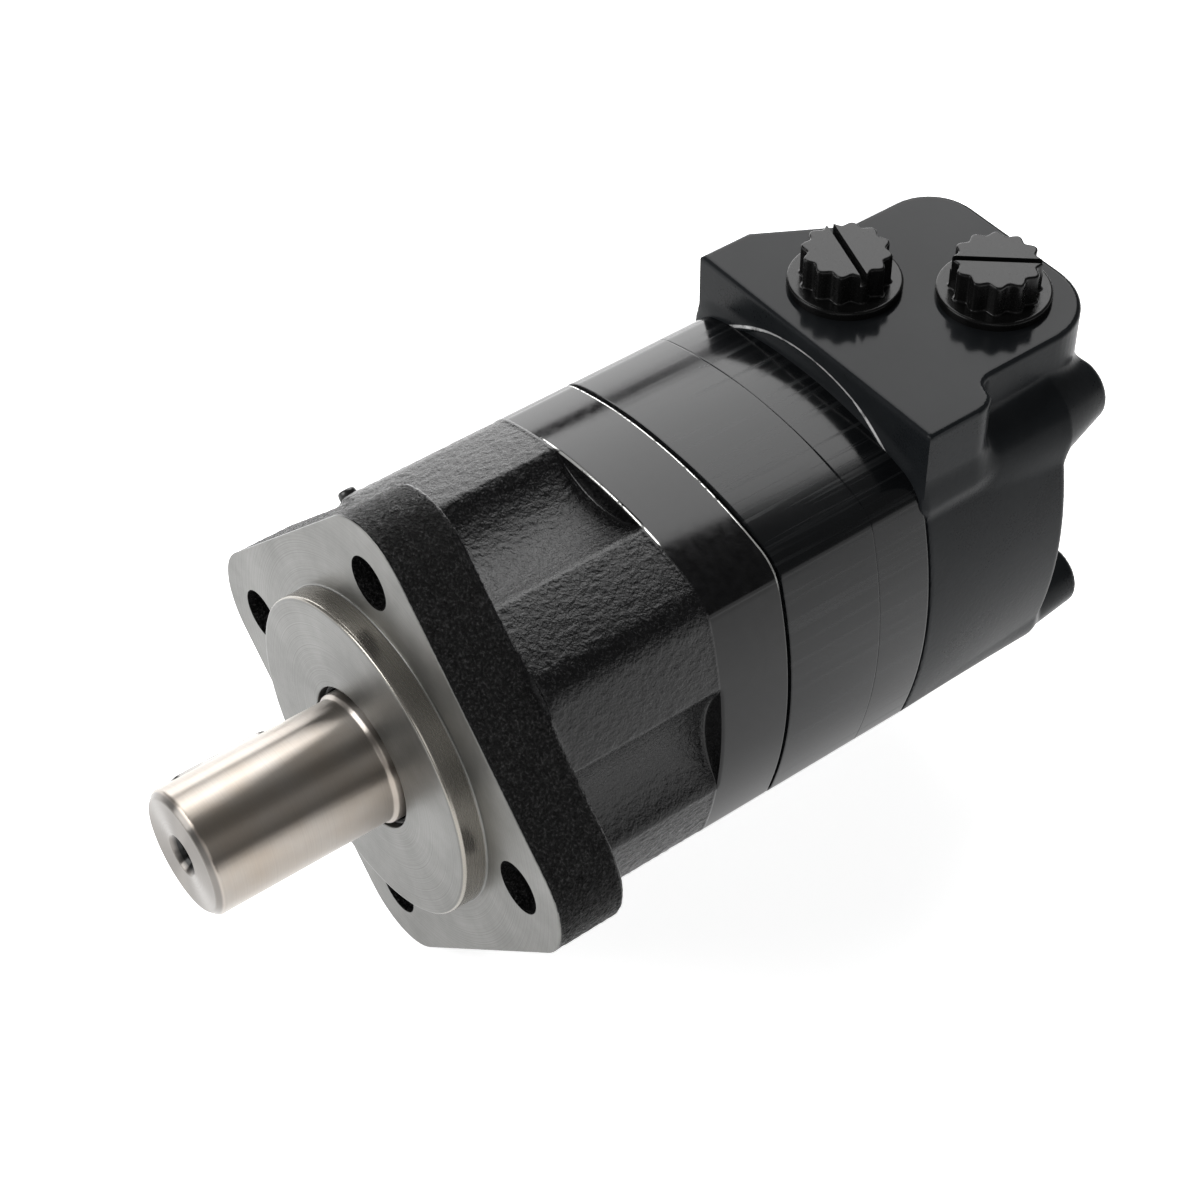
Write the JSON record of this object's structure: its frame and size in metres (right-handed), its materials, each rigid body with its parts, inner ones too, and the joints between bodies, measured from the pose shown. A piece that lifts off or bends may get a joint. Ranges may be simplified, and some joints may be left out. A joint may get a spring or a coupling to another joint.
{
  "type": "hydraulic motor",
  "caption": "Low-speed orbital hydraulic motor with a square bolt-on flange, a keyed steel shaft and two plugged ports on top of its rear housing.",
  "frame": {"origin": "centre of the flange's mounting face, on the shaft axis", "axes": "-Y along the shaft towards its tip, +Z towards the port face, +X to the right when the shaft is seen from its tip"},
  "size_m": [0.1382, 0.2466, 0.1382],
  "materials": {
    "cast_black": "gloss black paint on a sand casting, with the flange face left bare",
    "ground_black": "semi-gloss black paint on ground iron",
    "polished_steel": "ground and polished",
    "hardened_steel": "ground",
    "plated_steel": "zinc plated",
    "seal_rubber": "matte",
    "plug_plastic": "moulded satin black"
  },
  "bodies": {
    "housing": {"bearing_housing": "cast_black", "geroler_ring": "ground_black", "valve_plate": "ground_black", "valve_housing": "cast_black", "wear_plate": "ground_black", "front_section_seal": "seal_rubber", "middle_section_seal": "seal_rubber", "rear_section_seal": "seal_rubber", "dust_seal": "seal_rubber", "shaft_seal": "seal_rubber", "seal_washer": "plated_steel", "front_bearing_cup": "hardened_steel", "rear_bearing_cup": "hardened_steel", "case_drain_plug": "plated_steel", "balance_ring": "hardened_steel", "balance_ring_outer_seal": "seal_rubber", "balance_ring_inner_seal": "seal_rubber", "balance_pin_1": "plated_steel", "balance_pin_2": "plated_steel", "balance_spring_1": "plated_steel", "balance_spring_2": "plated_steel", "cap_bolt_1": "plated_steel", "cap_bolt_2": "plated_steel", "cap_bolt_3": "plated_steel", "cap_bolt_4": "plated_steel"},
    "shaft": {"output_shaft": "polished_steel", "shaft_key": "polished_steel", "shaft_nut": "plated_steel", "front_bearing_cone": "hardened_steel", "rear_bearing_cone": "hardened_steel"},
    "front_rollers": {"front_roller_cage": "hardened_steel"},
    "rear_rollers": {"rear_roller_cage": "hardened_steel"},
    "orbiter": {"drive_spacer": "plated_steel"},
    "star": {"star": "hardened_steel"},
    "drive_link": {"drive_link": "polished_steel"},
    "valve_drive": {"valve_drive": "polished_steel"},
    "valve": {"disc_valve": "hardened_steel"},
    "front_plug": {"port_plug_front": "plug_plastic"},
    "rear_plug": {"port_plug_rear": "plug_plastic"},
    "roller_1": {"geroler_roller_1": "hardened_steel"},
    "roller_2": {"geroler_roller_2": "hardened_steel"},
    "roller_3": {"geroler_roller_3": "hardened_steel"},
    "roller_4": {"geroler_roller_4": "hardened_steel"},
    "roller_5": {"geroler_roller_5": "hardened_steel"},
    "roller_6": {"geroler_roller_6": "hardened_steel"},
    "roller_7": {"geroler_roller_7": "hardened_steel"}
  },
  "joints": [
    {"name": "shaft_spin", "type": "hinge", "parent": "housing", "child": "shaft", "pos_m": [0, 0, 0], "axis": [0, -1, 0], "continuous": true},
    {"name": "front_rollers_spin", "type": "hinge", "parent": "housing", "child": "front_rollers", "pos_m": [0, 0.02, 0], "axis": [0, -1, 0], "continuous": true},
    {"name": "rear_rollers_spin", "type": "hinge", "parent": "housing", "child": "rear_rollers", "pos_m": [0, 0.051, 0], "axis": [0, -1, 0], "continuous": true},
    {"name": "star_orbit", "type": "hinge", "parent": "housing", "child": "orbiter", "pos_m": [0, 0.097, 0], "axis": [0, -1, 0], "continuous": true},
    {"name": "star_spin", "type": "hinge", "parent": "orbiter", "child": "star", "pos_m": [0, 0.097, 0.0025], "axis": [0, -1, 0], "continuous": true},
    {"name": "drive_link_spin", "type": "hinge", "parent": "orbiter", "child": "drive_link", "pos_m": [0, 0.042, 0], "axis": [0, -0.9988, -0.0499], "continuous": true},
    {"name": "valve_drive_spin", "type": "hinge", "parent": "orbiter", "child": "valve_drive", "pos_m": [0, 0.1345, 0], "axis": [0, -0.9968, 0.0796], "continuous": true},
    {"name": "valve_spin", "type": "hinge", "parent": "housing", "child": "valve", "pos_m": [0, 0.135, 0], "axis": [0, -1, 0], "continuous": true},
    {"name": "roller_1_spin", "type": "hinge", "parent": "housing", "child": "roller_1", "pos_m": [0, 0.097, 0.031], "axis": [0, -1, 0], "continuous": true},
    {"name": "roller_2_spin", "type": "hinge", "parent": "housing", "child": "roller_2", "pos_m": [-0.02424, 0.097, 0.01933], "axis": [0, -1, 0], "continuous": true},
    {"name": "roller_3_spin", "type": "hinge", "parent": "housing", "child": "roller_3", "pos_m": [-0.03022, 0.097, -0.0069], "axis": [0, -1, 0], "continuous": true},
    {"name": "roller_4_spin", "type": "hinge", "parent": "housing", "child": "roller_4", "pos_m": [-0.01345, 0.097, -0.02793], "axis": [0, -1, 0], "continuous": true},
    {"name": "roller_5_spin", "type": "hinge", "parent": "housing", "child": "roller_5", "pos_m": [0.01345, 0.097, -0.02793], "axis": [0, -1, 0], "continuous": true},
    {"name": "roller_6_spin", "type": "hinge", "parent": "housing", "child": "roller_6", "pos_m": [0.03022, 0.097, -0.0069], "axis": [0, -1, 0], "continuous": true},
    {"name": "roller_7_spin", "type": "hinge", "parent": "housing", "child": "roller_7", "pos_m": [0.02424, 0.097, 0.01933], "axis": [0, -1, 0], "continuous": true},
    {"name": "front_plug_lift", "type": "slide", "parent": "housing", "child": "front_plug", "axis": [0, 0, 1], "range_m": [0, 0.03]},
    {"name": "rear_plug_lift", "type": "slide", "parent": "housing", "child": "rear_plug", "axis": [0, 0, 1], "range_m": [0, 0.03]}
  ],
  "couplings": [
    {"joint": "front_rollers_spin", "follows": "shaft_spin", "ratio": 0.4465},
    {"joint": "rear_rollers_spin", "follows": "shaft_spin", "ratio": 0.4553},
    {"joint": "star_orbit", "follows": "shaft_spin", "ratio": -6},
    {"joint": "star_spin", "follows": "shaft_spin", "ratio": 7},
    {"joint": "drive_link_spin", "follows": "shaft_spin", "ratio": 7},
    {"joint": "valve_drive_spin", "follows": "shaft_spin", "ratio": 7},
    {"joint": "valve_spin", "follows": "shaft_spin", "ratio": 1},
    {"joint": "roller_1_spin", "follows": "shaft_spin", "ratio": -4.99},
    {"joint": "roller_2_spin", "follows": "shaft_spin", "ratio": -4.99},
    {"joint": "roller_3_spin", "follows": "shaft_spin", "ratio": -4.99},
    {"joint": "roller_4_spin", "follows": "shaft_spin", "ratio": -4.99},
    {"joint": "roller_5_spin", "follows": "shaft_spin", "ratio": -4.99},
    {"joint": "roller_6_spin", "follows": "shaft_spin", "ratio": -4.99},
    {"joint": "roller_7_spin", "follows": "shaft_spin", "ratio": -4.99}
  ]
}
